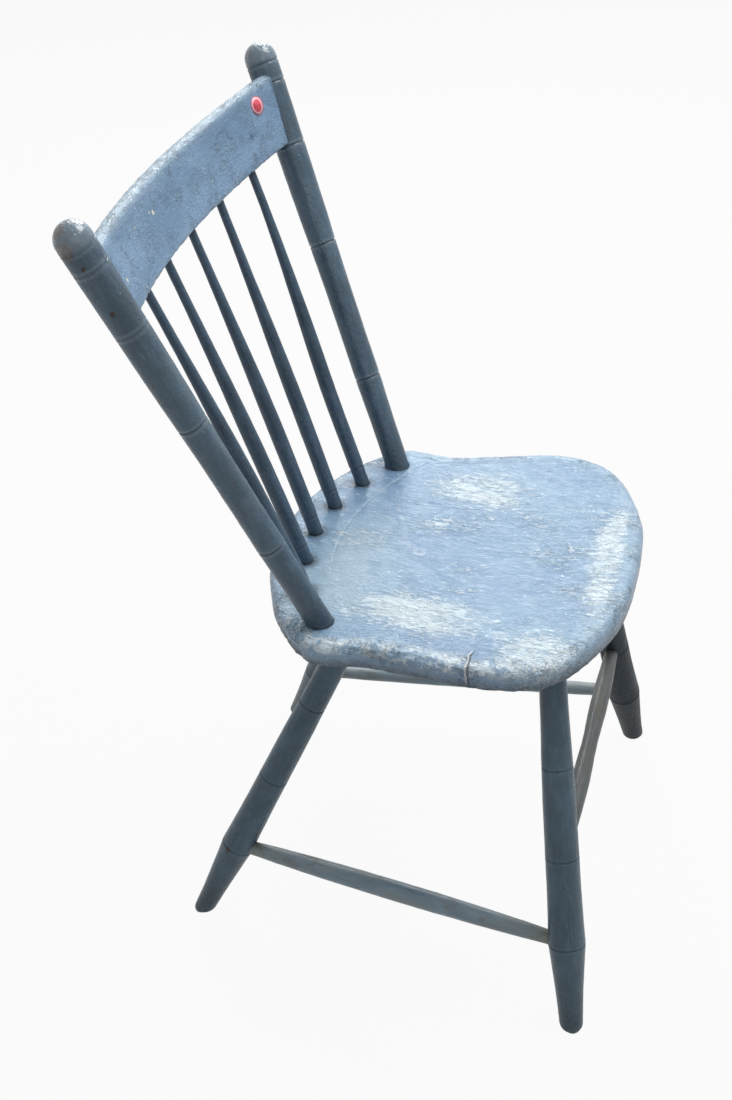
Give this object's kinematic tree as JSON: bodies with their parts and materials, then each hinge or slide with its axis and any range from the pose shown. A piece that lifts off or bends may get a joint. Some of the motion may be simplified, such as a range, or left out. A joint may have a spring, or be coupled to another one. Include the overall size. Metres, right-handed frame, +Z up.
{
  "type": "spindle-back side chair",
  "caption": "Armless wooden side chair with a plank seat, splayed bamboo-turned legs and stretchers, and a leaning spindle back, in worn and crackled blue-grey paint.",
  "frame": {"origin": "middle of the chair's footprint box, on the floor", "axes": "+Z up, -Y is the chair's front, +X is the sitter's left"},
  "size_m": [0.5058, 0.4868, 0.8878],
  "materials": {
    "seat_paint": "thick old pale blue oil paint over wood, glossy, wrinkled and crackled along the grain, chipped at the edge",
    "turning_paint": "dark slate blue oil paint over turned wood, satin, chipped and rubbed",
    "stretcher_paint": "slate blue oil paint with brownish grime, worst at the ends",
    "post_paint": "slate blue oil paint, rubbed through to brown on the knob, nicked",
    "crest_paint": "mid blue-grey oil paint with brush marks and small chips",
    "nail_iron": "dark rusted nail heads",
    "sticker_paper": "round red paper price sticker with an illegible mark"
  },
  "bodies": {
    "root": {"seat": "seat_paint", "leg_front_right": "turning_paint", "leg_front_left": "turning_paint", "leg_rear_right": "turning_paint", "leg_rear_left": "turning_paint", "stretcher_right": "stretcher_paint", "stretcher_left": "stretcher_paint", "stretcher_front": "stretcher_paint", "stretcher_rear": "stretcher_paint", "post_right": "post_paint", "post_left": "post_paint", "crest_rail": "crest_paint", "spindle_1": "turning_paint", "spindle_2": "turning_paint", "spindle_3": "turning_paint", "spindle_4": "turning_paint", "spindle_5": "turning_paint", "crest_nails": "nail_iron", "price_sticker": "sticker_paper"}
  },
  "joints": []
}
